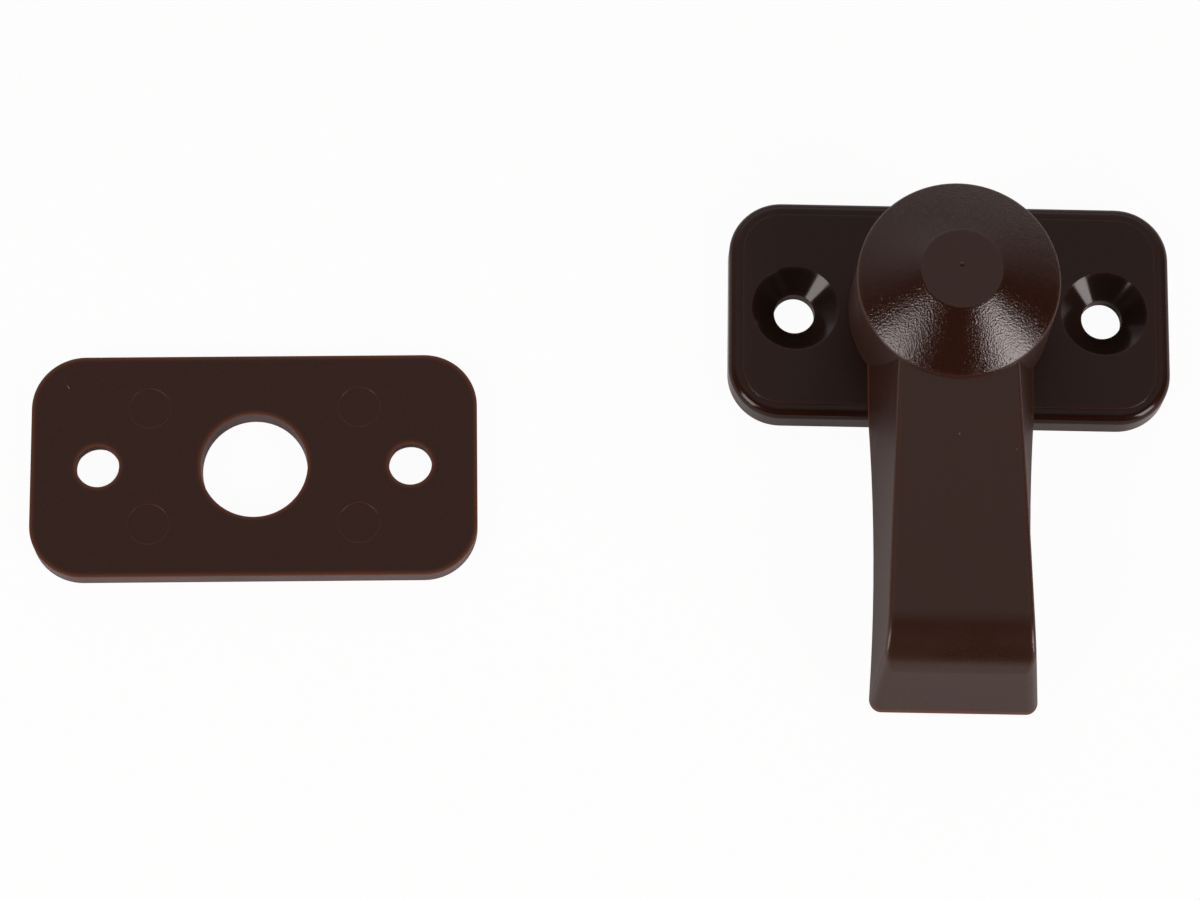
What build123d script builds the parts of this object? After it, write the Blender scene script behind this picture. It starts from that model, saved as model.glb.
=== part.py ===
from build123d import *
import os
from math import cos, radians, sin, tan

# A door turn button of moulded brown plastic: a lever that turns on a screwed-down
# base plate, and a loose packing plate of the same outline that lies beside it.
# The origin is on the pivot axis at the back of the base plate, +Z points away
# from the door, and at rest the lever's arm points along -Y.

# Outline and screw holes that the base plate and the packing plate share
plate_length = 50.0
plate_width = 25.6
plate_corner = 6.0
screw_pitch = 35.0

# Base plate: a raised satin field inside a ledge, and a rounded outer edge
base_thickness = 3.8
base_edge_rounding = 1.0
field_height = 0.15
field_inset = 1.55
base_screw_hole = 2.3
countersink_mouth = 4.9
countersink_angle = 100.0

# Bearing in the middle of the base plate
bearing_bore = 3.1
bearing_height = 3.8
bearing_wall = 3.9
recess_radius = 6.0
recess_depth = 3.6

# Packing plate: flat, moulded face up, with four ejector marks on its front
packing_thickness = 2.7
packing_draft = 0.5
packing_screw_hole = 2.4
packing_hole_land = 1.3
packing_hole_flare = 0.35
packing_centre_hole = 6.0
packing_centre_draft = 2.5
ejector_mark_radius = 2.3
ejector_mark_depth = 0.04
ejector_mark_x = 11.75
ejector_mark_y = 6.75
packing_x = -78.1
packing_y = -19.4
packing_turn = 1.6

# Lever hub: a nearly straight wall under a shallow cone with a flat top
hub_foot_radius = 11.5
hub_rim_radius = 11.35
hub_wall_height = 11.0
cone_height = 3.7
cone_flat_radius = 4.55
rim_bevel = 0.15

# Lever arm: widening top edges over waisted foot edges, as half widths
arm_reach = 46.8
arm_depth = 10.7
arm_top_hub = 6.25
arm_top_root = 6.63
arm_top_root_distance = 9.0
arm_top_middle = 7.57
arm_top_toe = 8.08
arm_foot_hub = 9.4
arm_foot_root = 9.31
arm_foot_root_distance = 13.0
arm_foot_waist = 8.77
arm_foot_toe = 9.42
waist_distance = 29.0
arm_edge_rounding = 0.5

# Toe: the top rolls over until it meets a steep face
toe_slope = 68.0
roll_radius = 6.8
roll_angle = 62.0
toe_corner = 1.4

# Coring of the lever's underside
lever_wall = 2.2
rib_thickness = 1.5
rib_setback = 0.6
cross_ribs = 3
hub_ribs = 4
boss_radius = 4.2

# Pivot: the lever's spigot, the screw that goes up into it, and its two washers
running_gap = 0.2
bearing_clearance = 0.1
washer_clearance = 0.4
washer_thickness = 0.8
screw_radius = 1.7
screw_clearance = 0.05
screw_length = 12.0
screw_head_radius = 3.4
screw_head_height = 1.9
screw_head_bevel = 0.6
driver_slot_width = 0.9
driver_slot_span = 3.6
driver_slot_depth = 1.1
spring_thickness = 0.3
spring_rise = 0.27
spring_radius = 5.3
spring_gap = 0.03

# Heights that follow from the sizes above
lever_foot = base_thickness + running_gap
lever_rim = lever_foot + hub_wall_height
lever_top = lever_rim + cone_height
arm_top = lever_foot + arm_depth
bearing_top = base_thickness + bearing_height
spigot_radius = bearing_bore - bearing_clearance
spigot_end = recess_depth - spring_thickness - spring_rise - spring_gap
washer_back = spigot_end - washer_thickness


UPRIGHT = (Align.CENTER, Align.CENTER, Align.MIN)


def plate_outline(inset=0.0):
    """The rounded rectangle of both plates, or one that lies inside it."""
    return RectangleRounded(plate_length - 2 * inset, plate_width - 2 * inset, plate_corner - inset)


def half_section(points):
    """A face drawn from radii and heights."""
    return make_face(Polyline(*points, close=True))


def turned(section):
    """A body turned about the pivot axis from its half section."""
    return revolve(Plane.XZ * section, Axis.Z)


def at_screws(hole):
    """A screw hole at each end of a plate."""
    return [Pos(side * screw_pitch / 2, 0, 0) * hole for side in (-1, 1)]


def base_plate():
    """Plate with the raised field, two countersunk holes and the bearing for the lever."""
    ledge = extrude(plate_outline(), base_thickness - field_height)
    ledge = fillet(ledge.faces().sort_by(Axis.Z)[-1].edges(), base_edge_rounding)
    field = extrude(plate_outline(field_inset), base_thickness)
    collar = Cylinder(bearing_bore + bearing_wall, bearing_top, align=UPRIGHT)
    plate = ledge + field + collar

    bore = Cylinder(bearing_bore, bearing_top, align=UPRIGHT)
    recess = Cylinder(recess_radius, recess_depth, align=UPRIGHT)
    sink_depth = (countersink_mouth - base_screw_hole) / tan(radians(countersink_angle / 2))
    screw_hole = turned(half_section([
        (0, 0),
        (base_screw_hole, 0),
        (base_screw_hole, base_thickness - sink_depth),
        (countersink_mouth, base_thickness),
        (0, base_thickness),
    ]))
    return plate - [bore, recess] - at_screws(screw_hole)


def packing_plate():
    """Flat plate that lies beside the button, face up."""
    plate = extrude(Plane.XY.offset(packing_thickness) * plate_outline(), -packing_thickness,
                    taper=packing_draft)
    centre_hole = turned(half_section([
        (0, 0),
        (packing_centre_hole - packing_thickness * tan(radians(packing_centre_draft)), 0),
        (packing_centre_hole, packing_thickness),
        (0, packing_thickness),
    ]))
    screw_hole = turned(half_section([
        (0, 0),
        (packing_screw_hole + packing_hole_flare, 0),
        (packing_screw_hole, packing_thickness - packing_hole_land),
        (packing_screw_hole, packing_thickness),
        (0, packing_thickness),
    ]))
    ejector_mark = Pos(0, 0, packing_thickness - ejector_mark_depth) * Cylinder(
        ejector_mark_radius, ejector_mark_depth, align=UPRIGHT)
    ejector_marks = [
        Pos(side * ejector_mark_x, end * ejector_mark_y, 0) * ejector_mark
        for side in (-1, 1)
        for end in (-1, 1)
    ]
    plate = plate - centre_hole - at_screws(screw_hole) - ejector_marks
    return Pos(packing_x, packing_y, 0) * Rot(0, 0, packing_turn) * plate


def arm_plan(side, height):
    """The arm's outline at one height, from its right side's edges, pivot to toe."""
    pivot_end = side[0] @ 0
    toe_end = side[-1] @ 1
    toe = Line(toe_end, (-toe_end.X, toe_end.Y))
    root = Line((-pivot_end.X, 0), pivot_end)
    return Plane.XY.offset(height) * make_face(Curve() + side + mirror(side, Plane.YZ) + [toe, root])


def arm_block(inset):
    """The square-ended arm, or the smaller block that its wall leaves inside."""

    def side(hub, root, root_distance, middle, toe, reach):
        bend = (root - inset, -root_distance)
        return [
            Line((hub - inset, 0), bend),
            ThreePointArc(bend, (middle - inset, -waist_distance), (toe - inset, inset - reach)),
        ]

    top_reach = arm_reach - arm_depth / tan(radians(toe_slope))
    foot_side = side(arm_foot_hub, arm_foot_root, arm_foot_root_distance, arm_foot_waist,
                     arm_foot_toe, arm_reach)
    top_side = side(arm_top_hub, arm_top_root, arm_top_root_distance, arm_top_middle,
                    arm_top_toe, top_reach)
    block = loft([arm_plan(foot_side, lever_foot), arm_plan(top_side, arm_top)], ruled=True)
    return block & layer(lever_foot, arm_top - inset)


def layer(low, high):
    """A slab wider than the whole lever, between two heights."""
    return Pos(0, 0, low) * Box(3 * arm_reach, 3 * arm_reach, high - low, align=UPRIGHT)


def roll_cutter(inset):
    """What the rolled toe takes off the end of a square arm."""
    turn = radians(roll_angle)
    radius = roll_radius - inset
    top = arm_top - inset
    face_top = top - radius * (1 - cos(turn))
    roll_end = inset - arm_reach + (face_top - lever_foot) / tan(radians(toe_slope))
    start = (roll_end + radius * sin(turn), top)
    roll = JernArc(start, (-1, 0), radius, toe_slope)
    outside = Polyline(roll @ 1, (-2 * arm_reach, (roll @ 1).Y), (-2 * arm_reach, lever_top),
                       (start[0], lever_top), start)
    section = Plane.YZ * make_face(Curve() + [roll, outside])
    return extrude(section, arm_reach, both=True)


def rounded_arm():
    """The arm with its toe's upright corners and its upper edges rounded."""
    arm = arm_block(0) - roll_cutter(0)
    toe_face = arm.faces().sort_by(Axis.Y)[0]
    arm = fillet(toe_face.edges().sort_by(Axis.Z)[1:3], toe_corner)
    top = arm.faces().sort_by(Axis.Z)[-1]
    roll = arm.faces().filter_by(GeomType.CYLINDER)[0]
    side_edges = [edge for edge in top.edges() + roll.edges() if abs(edge.center().X) > 1]
    return fillet(side_edges, arm_edge_rounding)


def arm_coring():
    """The pockets under the arm, between its walls, a long rib and the cross ribs."""
    block = arm_block(lever_wall) - roll_cutter(lever_wall)
    block -= Cylinder(hub_foot_radius, 4 * lever_top)
    rib_height = lever_top - lever_foot - rib_setback
    rib_foot = lever_foot + rib_setback
    long_rib = Pos(0, 0, rib_foot) * Box(rib_thickness, 2 * arm_reach, rib_height, align=UPRIGHT)
    first = hub_foot_radius
    pitch = (arm_reach - lever_wall - first) / (cross_ribs + 1)
    cross = [
        Pos(0, -first - pitch * (count + 1), rib_foot)
        * Box(2 * arm_reach, rib_thickness, rib_height, align=UPRIGHT)
        for count in range(cross_ribs)
    ]
    return block - long_rib - cross


def hub_coring():
    """The space under the cone for the bearing, with radial ribs above the bearing."""
    inner_radius = hub_rim_radius - lever_wall
    steepness = cone_height / (hub_rim_radius - cone_flat_radius)
    wall_rise = lever_wall * (1 + steepness ** 2) ** 0.5
    edge_ceiling = lever_rim + steepness * lever_wall - wall_rise
    ceiling = lever_top - lever_wall
    ceiling_radius = inner_radius - (ceiling - edge_ceiling) / steepness
    space = turned(half_section([
        (0, lever_foot),
        (inner_radius, lever_foot),
        (inner_radius, edge_ceiling),
        (ceiling_radius, ceiling),
        (0, ceiling),
    ]))
    rib_foot = bearing_top + running_gap
    rib = Pos(0, 0, rib_foot) * Box(2 * inner_radius, rib_thickness, lever_top, align=UPRIGHT)
    ribs = [Rot(0, 0, 45 + count * 360 / hub_ribs) * rib for count in range(hub_ribs // 2)]
    boss = Pos(0, 0, rib_foot) * Cylinder(boss_radius, lever_top, align=UPRIGHT)
    return space - ribs - boss


def turn_lever():
    """Hub, arm and toe in one moulding, cored out from below around a spigot."""
    rim = (hub_rim_radius, lever_rim)
    hub_section = half_section([
        (0, lever_foot),
        (hub_foot_radius, lever_foot),
        rim,
        (cone_flat_radius, lever_top),
        (0, lever_top),
    ])
    hub = turned(chamfer(hub_section.vertices().sort_by_distance(rim)[0], rim_bevel))
    spigot = Pos(0, 0, spigot_end) * Cylinder(spigot_radius, bearing_top, align=UPRIGHT)
    pilot = Pos(0, 0, spigot_end) * Cylinder(screw_radius + screw_clearance, screw_length, align=UPRIGHT)
    return rounded_arm() + hub - hub_coring() - arm_coring() + spigot - pilot


def pivot_screw():
    """Pan-head screw that goes up into the spigot from behind."""
    head_back = washer_back - screw_head_height
    head = Pos(0, 0, head_back) * Cylinder(screw_head_radius, screw_head_height, align=UPRIGHT)
    head = chamfer(head.edges().sort_by(Axis.Z)[0], screw_head_bevel)
    shank = Pos(0, 0, washer_back) * Cylinder(screw_radius, screw_length, align=UPRIGHT)
    slot = Pos(0, 0, head_back) * Box(driver_slot_span, driver_slot_width, driver_slot_depth, align=UPRIGHT)
    return head + shank - slot - Rot(0, 0, 90) * slot


def retaining_washer():
    """Flat washer clamped between the screw's head and the end of the spigot."""
    washer = Cylinder(recess_radius - washer_clearance, washer_thickness, align=UPRIGHT)
    hole = Cylinder(screw_radius + screw_clearance, washer_thickness, align=UPRIGHT)
    return Pos(0, 0, washer_back) * (washer - hole)


def spring_washer():
    """Dished washer that presses the lever down on its base and makes it turn stiffly."""
    inner_radius = bearing_bore + bearing_clearance
    return turned(half_section([
        (spring_radius, spigot_end),
        (spring_radius, spigot_end + spring_thickness),
        (inner_radius, spigot_end + spring_thickness + spring_rise),
        (inner_radius, spigot_end + spring_rise),
    ]))


os.makedirs("parts", exist_ok=True)
for piece in (base_plate, turn_lever, pivot_screw, retaining_washer, spring_washer, packing_plate):
    export_step(piece(), f"parts/{piece.__name__}.step")
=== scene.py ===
import bpy
from collections import namedtuple
from math import cos, radians, sin
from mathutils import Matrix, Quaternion, Vector

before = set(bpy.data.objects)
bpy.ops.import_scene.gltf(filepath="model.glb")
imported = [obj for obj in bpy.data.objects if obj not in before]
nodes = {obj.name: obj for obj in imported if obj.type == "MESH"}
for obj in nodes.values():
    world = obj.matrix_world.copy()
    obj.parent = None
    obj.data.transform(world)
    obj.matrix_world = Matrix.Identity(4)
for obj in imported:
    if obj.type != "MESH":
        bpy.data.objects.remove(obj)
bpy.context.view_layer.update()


# Base plate
# A moulded plate of dark chocolate-brown plastic, which two wood screws hold to the door. Its
# raised field comes from a finely eroded face of the mould and is satin, and its rim, walls and
# countersinks come from polished steel.

mm = 0.001
base_brown = (0.0186, 0.0066, 0.0042)
# The orange below is a painted glow, for light shining through the plastic at its thin edges.
painted_glow_brown = (0.155, 0.042, 0.015)
dust_grey = (0.30, 0.27, 0.25)
unchanged = (1.0, 1.0, 1.0)
edge_rounding = 0.16 * mm
thin_edge_depth = 0.65 * mm
cloud_size = 5 * mm
fleck_size = 0.22 * mm
dust_spacing = 3.2 * mm
mask_margin = 0.05 * mm
mask_blur = 0.02 * mm
base_front = 3.8 * mm
screw_hole_reach = 17.5 * mm
countersink_mouth = 4.9 * mm

# The sockets that tell where a point is: its place on the piece, the same seen from above, its
# height, its distance from the pivot's axis, and its facing. The facing is 1 on a level surface,
# 0 on an upright one and -1 underneath.
Spot = namedtuple("Spot", "place plan height radius facing")

# How one zone of the plastic is finished, with its share of the painted glow at thin edges and a painted
# tint that stands in for shade and reflection. Grain sizes are in metres and heights in millimetres.
Finish = namedtuple("Finish", "roughness grain_size grain_height edge_glow shade", defaults=(1.0, unchanged))


def add(tree, kind, **settings):
    """A new node with its settings."""
    node = tree.nodes.new(kind)
    for name, value in settings.items():
        setattr(node, name, value)
    return node


def join(tree, value, socket):
    """Sets a socket to a number or colour, or links it to another socket."""
    if isinstance(value, bpy.types.NodeSocket):
        tree.links.new(value, socket)
    else:
        socket.default_value = value


def arithmetic(tree, operation, first, second):
    """One step of arithmetic on two sockets or numbers."""
    node = add(tree, "ShaderNodeMath", operation=operation)
    join(tree, first, node.inputs[0])
    join(tree, second, node.inputs[1])
    return node.outputs[0]


def product(tree, first, *others):
    """Sockets and numbers multiplied together."""
    for other in others:
        first = arithmetic(tree, "MULTIPLY", first, other)
    return first


def vector_step(tree, operation, first, second=None):
    """One step of arithmetic on vectors, which gives a number where it measures something."""
    node = add(tree, "ShaderNodeVectorMath", operation=operation)
    join(tree, first, node.inputs[0])
    if second is not None:
        join(tree, second, node.inputs[1])
    measures = operation in ("LENGTH", "DISTANCE", "DOT_PRODUCT")
    return node.outputs["Value" if measures else "Vector"]


def carried(tree, value, low, high, to_low=0.0, to_high=1.0):
    """A value carried from one range to another, and held at its ends."""
    node = add(tree, "ShaderNodeMapRange")
    join(tree, value, node.inputs["Value"])
    join(tree, low, node.inputs["From Min"])
    join(tree, high, node.inputs["From Max"])
    join(tree, to_low, node.inputs["To Min"])
    join(tree, to_high, node.inputs["To Max"])
    return node.outputs["Result"]


def above(tree, value, limit, blur):
    """1 where a value is over a limit and 0 where it is under."""
    return carried(tree, value, limit - blur, limit + blur)


def below(tree, value, limit, blur):
    """1 where a value is under a limit and 0 where it is over."""
    return carried(tree, value, limit + blur, limit - blur)


# A Mix node has its number sockets at 2 and 3, and its colour sockets at 6 and 7.
def blended(tree, share, first, second):
    """A number between two numbers, each a socket or plain."""
    node = add(tree, "ShaderNodeMix", data_type="FLOAT")
    join(tree, share, node.inputs[0])
    join(tree, first, node.inputs[2])
    join(tree, second, node.inputs[3])
    return node.outputs[0]


def tinted(tree, share, first, second, blend_type="MIX"):
    """A colour between two colours, or the first colour multiplied by the second."""
    node = add(tree, "ShaderNodeMix", data_type="RGBA", blend_type=blend_type)
    join(tree, share, node.inputs[0])
    for colour, socket in ((first, node.inputs[6]), (second, node.inputs[7])):
        join(tree, (*colour, 1.0) if isinstance(colour, tuple) else colour, socket)
    return node.outputs[2]


def scaled(colour, factors):
    """A colour with its red, green and blue each scaled."""
    return tuple(part * factor for part, factor in zip(colour, factors))


def cloud(tree, place, size, detail=2.0):
    """Cloudy variation around one half, with spots of about one size in metres."""
    node = add(tree, "ShaderNodeTexNoise")
    join(tree, place, node.inputs["Vector"])
    join(tree, 1 / size, node.inputs["Scale"])
    join(tree, detail, node.inputs["Detail"])
    return node.outputs["Fac"]


def stretched(tree, clouds, to_low=0.0, to_high=1.0):
    """Cloudy variation, which mostly lies between 0.3 and 0.7, carried to a whole range."""
    return carried(tree, clouds, 0.3, 0.7, to_low, to_high)


def spot_on_piece(tree):
    """The sockets of a Spot for the piece that has this material."""
    place = add(tree, "ShaderNodeTexCoord").outputs["Object"]
    parts = add(tree, "ShaderNodeSeparateXYZ")
    join(tree, place, parts.inputs[0])
    plan = vector_step(tree, "MULTIPLY", place, (1.0, 1.0, 0.0))
    facing = add(tree, "ShaderNodeSeparateXYZ")
    join(tree, add(tree, "ShaderNodeNewGeometry").outputs["True Normal"], facing.inputs[0])
    return Spot(place, plan, parts.outputs["Z"], vector_step(tree, "LENGTH", plan), facing.outputs["Z"])


def bumped(tree, height, normal=None):
    """A normal bumped by a height in millimetres."""
    bump = add(tree, "ShaderNodeBump")
    join(tree, mm, bump.inputs["Distance"])
    join(tree, height, bump.inputs["Height"])
    if normal is not None:
        join(tree, normal, bump.inputs["Normal"])
    return bump.outputs["Normal"]


def thin_edges(tree):
    """How thin the plastic is: 1 at a sharp edge, where light shines through, and 0 where thick."""
    thick = 0.93
    thin = 0.50
    depth = add(tree, "ShaderNodeAmbientOcclusion", inside=True, samples=8)
    join(tree, thin_edge_depth, depth.inputs["Distance"])
    return carried(tree, depth.outputs["AO"], thick, thin)


def flecked(tree, place, clouds, brown):
    """A brown with soft darker and lighter clouds, and with fine grey and red flecks."""
    darker = scaled(brown, (0.95, 0.95, 0.95))
    lighter = scaled(brown, (1.05, 1.05, 1.05))
    greyer = scaled(brown, (0.78, 0.90, 1.05))
    redder = scaled(brown, (1.22, 1.10, 0.95))
    fleck_share = 0.6
    clouded = tinted(tree, stretched(tree, clouds), darker, lighter)
    speckle = tinted(tree, stretched(tree, cloud(tree, place, fleck_size)), greyer, redder)
    return tinted(tree, fleck_share, clouded, speckle)


def dust_specks(tree, place):
    """How much dust covers a point. About one cell in eight has a speck at its middle."""
    empty_share = 0.87
    speck_radius = 0.02
    speck_blur = 0.015
    cover = 0.5
    cells = add(tree, "ShaderNodeTexVoronoi")
    join(tree, place, cells.inputs["Vector"])
    join(tree, 1 / dust_spacing, cells.inputs["Scale"])
    lottery = add(tree, "ShaderNodeSeparateColor")
    join(tree, cells.outputs["Color"], lottery.inputs[0])
    drawn = above(tree, lottery.outputs[0], empty_share, 0.01)
    speck = carried(tree, cells.outputs["Distance"], speck_radius + speck_blur, speck_radius, 0.0, cover)
    return product(tree, drawn, speck)


def moulded_plastic(name, brown, specular, finish, zones=(), relief=None):
    """Brown plastic with a painted orange glow at thin edges, with flecks, fine grain and a few dust specks.

    A zone is a function that says where it is, with its own finish and painted tint. Grain and relief
    are heights in millimetres, and relief is a function that adds the larger forms.
    """
    gloss_change = 0.025
    painted_glow_strength = 0.7
    edge_roughness = 0.6
    material = bpy.data.materials.new(name)
    material.use_nodes = True
    tree = material.node_tree
    surface = tree.nodes["Principled BSDF"]
    surface.inputs["Specular IOR Level"].default_value = specular
    spot = spot_on_piece(tree)
    clouds = cloud(tree, spot.place, cloud_size, detail=3.0)

    edge = thin_edges(tree)
    tint = flecked(tree, spot.place, clouds, brown)
    grain = product(tree, cloud(tree, spot.place, finish.grain_size), finish.grain_height)
    gloss = stretched(tree, clouds, finish.roughness - gloss_change, finish.roughness + gloss_change)
    for where, look in zones:
        mask = where(tree, spot)
        zone_grain = product(tree, cloud(tree, spot.place, look.grain_size), look.grain_height)
        edge = product(tree, edge, blended(tree, mask, 1.0, look.edge_glow))
        # Painted light: each zone's colour is multiplied by its tint, which paints shade on the hub and a
        # grey reflection in the countersinks.
        tint = tinted(tree, mask, tint, look.shade, blend_type="MULTIPLY")
        grain = blended(tree, mask, grain, zone_grain)
        gloss = blended(tree, mask, gloss, look.roughness)
    if relief:
        grain = arithmetic(tree, "ADD", grain, relief(tree, spot))

    # Painted glow: the colour turns orange at thin edges, for light shining through the plastic.
    tint = tinted(tree, product(tree, edge, painted_glow_strength), tint, painted_glow_brown)
    tint = tinted(tree, dust_specks(tree, spot.place), tint, dust_grey)
    join(tree, tint, surface.inputs["Base Color"])
    join(tree, blended(tree, edge, gloss, edge_roughness), surface.inputs["Roughness"])
    rounded = add(tree, "ShaderNodeBevel", samples=6)
    join(tree, edge_rounding, rounded.inputs["Radius"])
    join(tree, bumped(tree, grain, rounded.outputs["Normal"]), surface.inputs["Normal"])
    return material


def satin_field(tree, spot):
    """Where the base plate's raised field is."""
    level = above(tree, spot.facing, 0.99, 0.005)
    return product(tree, level, above(tree, spot.height, base_front - mask_margin, mask_blur))


def countersinks(tree, spot):
    """Where the cones of the two screw holes are."""
    blur = 0.025 * mm
    both_as_one = vector_step(tree, "ABSOLUTE", spot.plan)
    reach = vector_step(tree, "DISTANCE", both_as_one, (screw_hole_reach, 0.0, 0.0))
    sloping = below(tree, spot.facing, 0.925, 0.025)
    return product(tree, sloping, below(tree, reach, countersink_mouth - blur, blur))


def finish_with(piece, material):
    """Gives a piece its material."""
    piece.data.materials.clear()
    piece.data.materials.append(material)


polished = Finish(roughness=0.12, grain_size=0.6 * mm, grain_height=0.001)
satin = Finish(roughness=0.34, grain_size=0.14 * mm, grain_height=0.010, edge_glow=0.25)
# The countersinks' shaded sides are painted greyer and less red, a painted reflection.
polished_painted_reflection = Finish(roughness=0.12, grain_size=0.6 * mm, grain_height=0.001, shade=(0.85, 1.3, 1.5))
base_plastic = moulded_plastic(
    "base_plate_plastic", base_brown, specular=0.29, finish=polished,
    zones=[(satin_field, satin), (countersinks, polished_painted_reflection)],
)
finish_with(nodes["base_plate"], base_plastic)


# Turn lever
# Hub and arm in one moulding of the same plastic, with a spigot that turns in the base plate's
# bearing. The hub's cone comes from a coarsely spark-eroded face of the mould and glitters, its
# flat top is smooth, the arm is satin, and the steep walls are a little duller.

lever_brown = (0.0285, 0.0092, 0.0051)
# The hub's cone and flat top are painted darker than the arm, a painted shade.
hub_painted_shade = (0.84, 0.80, 0.84)
hub_rim_radius = 11.35 * mm
hub_rim_height = 15.0 * mm
cone_flat_radius = 4.55 * mm
lever_top = 18.7 * mm


def eroded_cone(tree, spot):
    """Where the hub's cone is."""
    sloping = product(tree, above(tree, spot.facing, 0.80, 0.02), below(tree, spot.facing, 0.95, 0.01))
    high = above(tree, spot.height, hub_rim_height + mask_margin, mask_blur)
    inside = below(tree, spot.radius, hub_rim_radius + mask_margin, mask_blur)
    return product(tree, sloping, high, inside)


def side_walls(tree, spot):
    """Where the steep walls of the hub and arm are, and all that faces down."""
    return below(tree, spot.facing, 0.25, 0.05)


def hub_flat(tree, spot):
    """Where the hub's flat top is."""
    return above(tree, spot.height, lever_top - 2 * mask_margin, mask_blur)


def crown(tree, spot):
    """The cone's slight bulge between the flat and the rim, a shallow arc, in millimetres."""
    crown_radius = 55.0
    cone_run = (hub_rim_radius - cone_flat_radius) / mm
    out = carried(tree, spot.radius, cone_flat_radius, hub_rim_radius, 0.0, cone_run)
    still_to_go = arithmetic(tree, "SUBTRACT", cone_run, out)
    return product(tree, out, still_to_go, 1 / (2 * crown_radius))


def gate_nub(tree, spot):
    """The small nub that the mould's gate leaves on the flat, in millimetres."""
    nub_place = (0.0, 0.51 * mm, lever_top)
    nub_top_radius = 0.10 * mm
    nub_foot_radius = 0.28 * mm
    nub_height = 0.06
    reach = vector_step(tree, "DISTANCE", spot.place, nub_place)
    return carried(tree, reach, nub_top_radius, nub_foot_radius, nub_height, 0.0)


def spark_pits(tree, spot):
    """The pits of the spark-eroded cone, in millimetres."""
    pit_size = 0.19 * mm
    pit_depth = 0.022
    pits = add(tree, "ShaderNodeTexVoronoi", feature="SMOOTH_F1")
    join(tree, spot.place, pits.inputs["Vector"])
    join(tree, 1 / pit_size, pits.inputs["Scale"])
    inner_blur = 0.05 * mm
    outer_blur = 0.025 * mm
    past_flat = above(tree, spot.radius, cone_flat_radius + 2 * inner_blur, inner_blur)
    inside_rim = below(tree, spot.radius, hub_rim_radius + outer_blur, outer_blur)
    return product(tree, past_flat, inside_rim, pits.outputs["Distance"], pit_depth)


def hub_relief(tree, spot):
    """The cone's bulge and pits, and the nub on the flat, in millimetres."""
    raised = arithmetic(tree, "ADD", crown(tree, spot), gate_nub(tree, spot))
    return arithmetic(tree, "ADD", raised, spark_pits(tree, spot))


lever_satin = Finish(roughness=0.28, grain_size=0.25 * mm, grain_height=0.004)
dull_satin = Finish(roughness=0.48, grain_size=0.25 * mm, grain_height=0.004, edge_glow=0.8)
smooth = Finish(roughness=0.12, grain_size=0.25 * mm, grain_height=0.002, shade=hub_painted_shade)
glittering = Finish(roughness=0.13, grain_size=0.18 * mm, grain_height=0.030, shade=hub_painted_shade)
lever_plastic = moulded_plastic(
    "turn_lever_plastic", lever_brown, specular=0.5, finish=lever_satin,
    zones=[(side_walls, dull_satin), (hub_flat, smooth), (eroded_cone, glittering)],
    relief=hub_relief,
)
finish_with(nodes["turn_lever"], lever_plastic)


# Spring washer
# A dished ring of dark tempered spring steel, punched from sheet and pressed to its curve. It
# sits behind the base plate's bearing and makes the lever turn stiffly.

spring_grey = (0.10, 0.105, 0.115)


def metal(name, colour, roughness, ring_size, ring_height):
    """Plain steel with soft clouds, and with fine turned rings of a height in millimetres."""
    darker = scaled(colour, (0.75, 0.75, 0.75))
    patch_size = 2 * mm
    gloss_change = 0.06
    material = bpy.data.materials.new(name)
    material.use_nodes = True
    tree = material.node_tree
    surface = tree.nodes["Principled BSDF"]
    surface.inputs["Metallic"].default_value = 1.0
    spot = spot_on_piece(tree)
    clouds = cloud(tree, spot.place, patch_size, detail=4.0)
    tint = tinted(tree, carried(tree, clouds, 0.35, 0.65), darker, colour)
    gloss = stretched(tree, clouds, roughness - gloss_change, roughness + gloss_change)
    rings = add(tree, "ShaderNodeTexNoise", noise_dimensions="1D")
    join(tree, spot.radius, rings.inputs["W"])
    join(tree, 1 / ring_size, rings.inputs["Scale"])
    join(tree, tint, surface.inputs["Base Color"])
    join(tree, gloss, surface.inputs["Roughness"])
    join(tree, bumped(tree, product(tree, rings.outputs["Fac"], ring_height)), surface.inputs["Normal"])
    return material


spring_steel = metal("spring_steel", spring_grey, roughness=0.38, ring_size=0.12 * mm, ring_height=0.003)
finish_with(nodes["spring_washer"], spring_steel)


# Retaining washer and pivot screw
# A punched washer and a pan-head screw, both of bright zinc-plated steel. The screw goes up
# into the lever's spigot and holds the washers against its end.

zinc_grey = (0.62, 0.63, 0.64)
zinc = metal("zinc_plate", zinc_grey, roughness=0.28, ring_size=0.10 * mm, ring_height=0.002)
finish_with(nodes["retaining_washer"], zinc)
finish_with(nodes["pivot_screw"], zinc)


# Packing plate
# A flat plate of the same plastic with the base plate's outline, moulded with plain holes. It
# goes under the base plate on a thicker door, and lies loose beside the button here.

packing_brown = (0.0280, 0.0086, 0.0047)
packing_front = 2.7 * mm


def scratch(tree, spot, x, y, angle, length, width, height):
    """A short scratch that stands up from the plate's front, with its sizes in millimetres."""
    crest_share = 0.3
    along = add(tree, "ShaderNodeMapping", vector_type="TEXTURE")
    join(tree, spot.place, along.inputs["Vector"])
    join(tree, (x * mm, y * mm, packing_front), along.inputs["Location"])
    join(tree, (0.0, 0.0, radians(angle)), along.inputs["Rotation"])
    join(tree, (length / 2 * mm, width / 2 * mm, mm), along.inputs["Scale"])
    reach = vector_step(tree, "LENGTH", along.outputs[0])
    return carried(tree, reach, crest_share, 1.0, height, 0.0)


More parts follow.
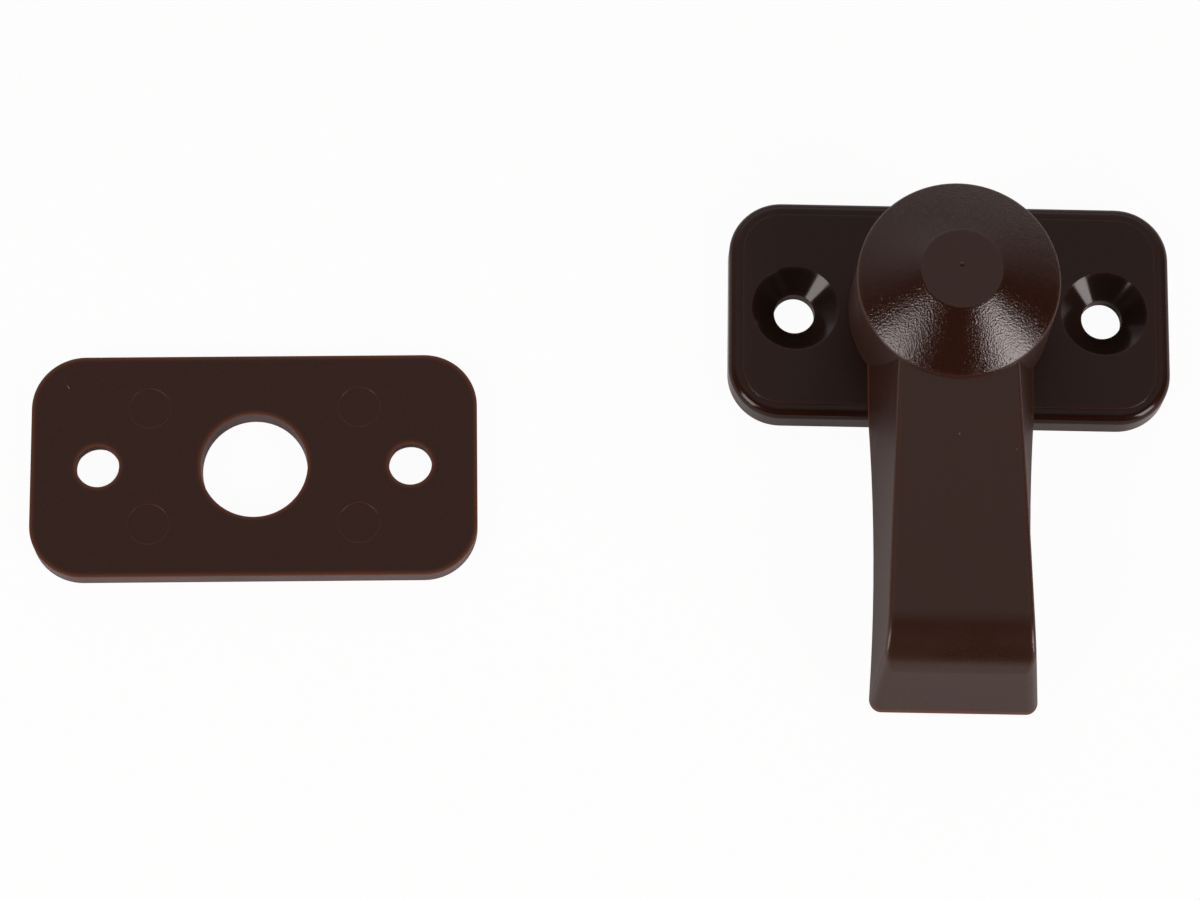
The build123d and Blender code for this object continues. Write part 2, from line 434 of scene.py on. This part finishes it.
def packing_relief(tree, spot):
    """The nick near the plate's back left corner, and two faint scratches at its left end."""
    nick = scratch(tree, spot, x=-99.4, y=-10.4, angle=-49, length=1.3, width=0.36, height=0.12)
    upper = scratch(tree, spot, x=-101.4, y=-24.6, angle=-40, length=1.6, width=0.22, height=0.02)
    lower = scratch(tree, spot, x=-99.0, y=-27.6, angle=-35, length=1.8, width=0.22, height=0.015)
    return arithmetic(tree, "ADD", arithmetic(tree, "ADD", nick, upper), lower)


packing_plastic = moulded_plastic(
    "packing_plate_plastic", packing_brown, specular=0.33,
    finish=Finish(roughness=0.33, grain_size=0.25 * mm, grain_height=0.005), relief=packing_relief,
)
finish_with(nodes["packing_plate"], packing_plastic)


# Table, lamps and camera
# A plain pale table, with a soft box on each side in front. The room has a pale warm wall
# behind, is dark in front and has a dim ceiling, and the camera is high in front.

pure_white = (1.0, 1.0, 1.0)
lamp_white = (1.0, 0.91, 0.89)
room_white = (1.0, 0.91, 0.88)
table_white = (0.86, 0.86, 0.86)
lamp_distance = 0.8
lamp_width = 0.30
lamp_height = 0.46


def pale_table():
    """A white table that keeps a soft shadow and looks nearly white to the camera."""
    half = 2.0
    drop = 0.02 * mm
    seen_white = 0.96
    mirrored_white = 0.04
    corners = [(-half, -half, -drop), (half, -half, -drop), (half, half, -drop), (-half, half, -drop)]
    mesh = bpy.data.meshes.new("table")
    mesh.from_pydata(corners, [], [(0, 1, 2, 3)])
    table = bpy.data.objects.new("table", mesh)
    bpy.context.scene.collection.objects.link(table)
    material = bpy.data.materials.new("table_white")
    material.use_nodes = True
    tree = material.node_tree
    surface = tree.nodes["Principled BSDF"]
    surface.inputs["Base Color"].default_value = (*table_white, 1.0)
    surface.inputs["Roughness"].default_value = 0.9
    surface.inputs["Specular IOR Level"].default_value = 0.0
    glow = add(tree, "ShaderNodeEmission")
    glow.inputs["Color"].default_value = (*pure_white, 1.0)
    path = add(tree, "ShaderNodeLightPath")
    seen = arithmetic(tree, "MAXIMUM", path.outputs["Is Camera Ray"], path.outputs["Is Transmission Ray"])
    mirrored = product(tree, path.outputs["Is Glossy Ray"], mirrored_white)
    white = product(tree, arithmetic(tree, "MAXIMUM", seen, mirrored), seen_white)
    blend = add(tree, "ShaderNodeMixShader")
    join(tree, white, blend.inputs[0])
    join(tree, surface.outputs[0], blend.inputs[1])
    join(tree, glow.outputs[0], blend.inputs[2])
    join(tree, blend.outputs[0], tree.nodes["Material Output"].inputs["Surface"])
    mesh.materials.append(material)


def soft_box(name, azimuth, elevation, power):
    """A rectangular lamp that looks at the hub's foot."""
    lamp = bpy.data.lights.new(name, "AREA")
    lamp.shape = "RECTANGLE"
    lamp.size = lamp_width
    lamp.size_y = lamp_height
    lamp.energy = power
    lamp.color = lamp_white
    piece = bpy.data.objects.new(name, lamp)
    turn = radians(azimuth)
    rise = radians(elevation)
    away = Vector((cos(rise) * cos(turn), cos(rise) * sin(turn), sin(rise)))
    piece.location = away * lamp_distance
    piece.rotation_mode = "QUATERNION"
    piece.rotation_quaternion = away.to_track_quat("Z", "Y")
    bpy.context.scene.collection.objects.link(piece)


def studio_world():
    """A pale wall behind, a dark room in front and a dim ceiling, white where the camera sees them.

    Height is the sine of the angle above level: 0 is level and 1 is straight up.
    """
    world = bpy.data.worlds.new("studio")
    bpy.context.scene.world = world
    world.use_nodes = True
    tree = world.node_tree
    backdrop = tree.nodes["Background"]
    direction = add(tree, "ShaderNodeTexCoord").outputs["Generated"]
    height = vector_step(tree, "DOT_PRODUCT", direction, (0.0, 0.0, 1.0))
    behind = vector_step(tree, "DOT_PRODUCT", direction, (-0.10, 1.0, 0.0))
    up_and_back = vector_step(tree, "DOT_PRODUCT", direction, (0.0, 0.50, 0.866))
    lower_wall = carried(tree, height, 0.30, 0.50, 0.40, 0.85)
    upper_fade = carried(tree, height, 0.70, 0.85, 1.0, 0.25)
    wall = product(tree, carried(tree, behind, 0.10, 0.80, 0.03, 1.0), lower_wall, upper_fade)
    skirting = carried(tree, height, 0.06, 0.16, 1.2, 0.0)
    ceiling = carried(tree, up_and_back, 0.80, 0.95, 0.0, 0.42)
    room = arithmetic(tree, "ADD", arithmetic(tree, "MAXIMUM", wall, skirting), ceiling)
    seen = add(tree, "ShaderNodeLightPath").outputs["Is Camera Ray"]
    join(tree, blended(tree, seen, room, 1.0), backdrop.inputs["Strength"])
    join(tree, tinted(tree, seen, room_white, pure_white), backdrop.inputs["Color"])


def photo_camera():
    """The camera, high in front of the two pieces, with its long lens."""
    place = Vector((-45.52, -156.41, 474.34)) * mm
    target = Vector((-39.33, -16.07, 0)) * mm
    roll = radians(3.49)
    lens = bpy.data.cameras.new("camera")
    lens.sensor_width = 36.0
    lens.lens = 131.37
    camera = bpy.data.objects.new("camera", lens)
    camera.location = place
    camera.rotation_mode = "QUATERNION"
    camera.rotation_quaternion = (target - place).to_track_quat("-Z", "Y") @ Quaternion((0, 0, 1), roll)
    bpy.context.scene.collection.objects.link(camera)
    bpy.context.scene.camera = camera


pale_table()
soft_box("soft_box_left", azimuth=-144, elevation=32, power=3.4)
soft_box("soft_box_right", azimuth=-37, elevation=33, power=4.0)
studio_world()
photo_camera()
bpy.context.scene.view_settings.view_transform = "Standard"
